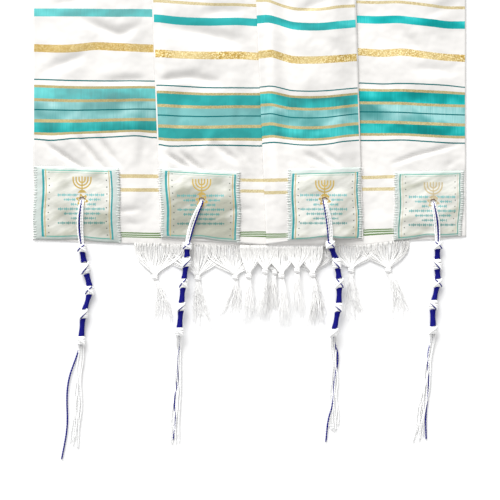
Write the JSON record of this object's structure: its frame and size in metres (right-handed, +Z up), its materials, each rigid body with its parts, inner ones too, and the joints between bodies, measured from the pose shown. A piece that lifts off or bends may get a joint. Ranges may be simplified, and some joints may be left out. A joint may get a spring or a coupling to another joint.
{
  "type": "tallit prayer shawl",
  "caption": "Striped white prayer shawl laid flat, doubled over with its upper half pleated, with knotted fringe, sewn corner squares and a tzitzit at each corner.",
  "frame": {"origin": "on the resting surface, under the middle of the whole piece's box", "axes": "+Z up from the surface it lies on, +Y from the fringed hems towards the top fold, +X to the right as seen from above"},
  "size_m": [0.55, 1.0894, 0.0151],
  "materials": {
    "cloth": "smooth white polyester with turquoise, gold and thin green stripes near the hems",
    "corner_satin": "silver-white satin with a printed turquoise and gold border",
    "fringe_thread": "loose white polyester warp thread, knotted",
    "tzitzit_cord": "twisted white cord with ultramarine windings"
  },
  "bodies": {
    "root": {"lower_half": "cloth", "upper_half_left": "cloth", "upper_half_right": "cloth", "pleat_layers": "cloth", "corner_square_lower_left": "corner_satin", "corner_square_upper_left": "corner_satin", "corner_square_upper_right": "corner_satin", "corner_square_lower_right": "corner_satin", "lower_fringe": "fringe_thread", "upper_fringe": "fringe_thread", "tzitzit_lower_left": "tzitzit_cord", "tzitzit_upper_left": "tzitzit_cord", "tzitzit_upper_right": "tzitzit_cord", "tzitzit_lower_right": "tzitzit_cord"}
  },
  "joints": []
}
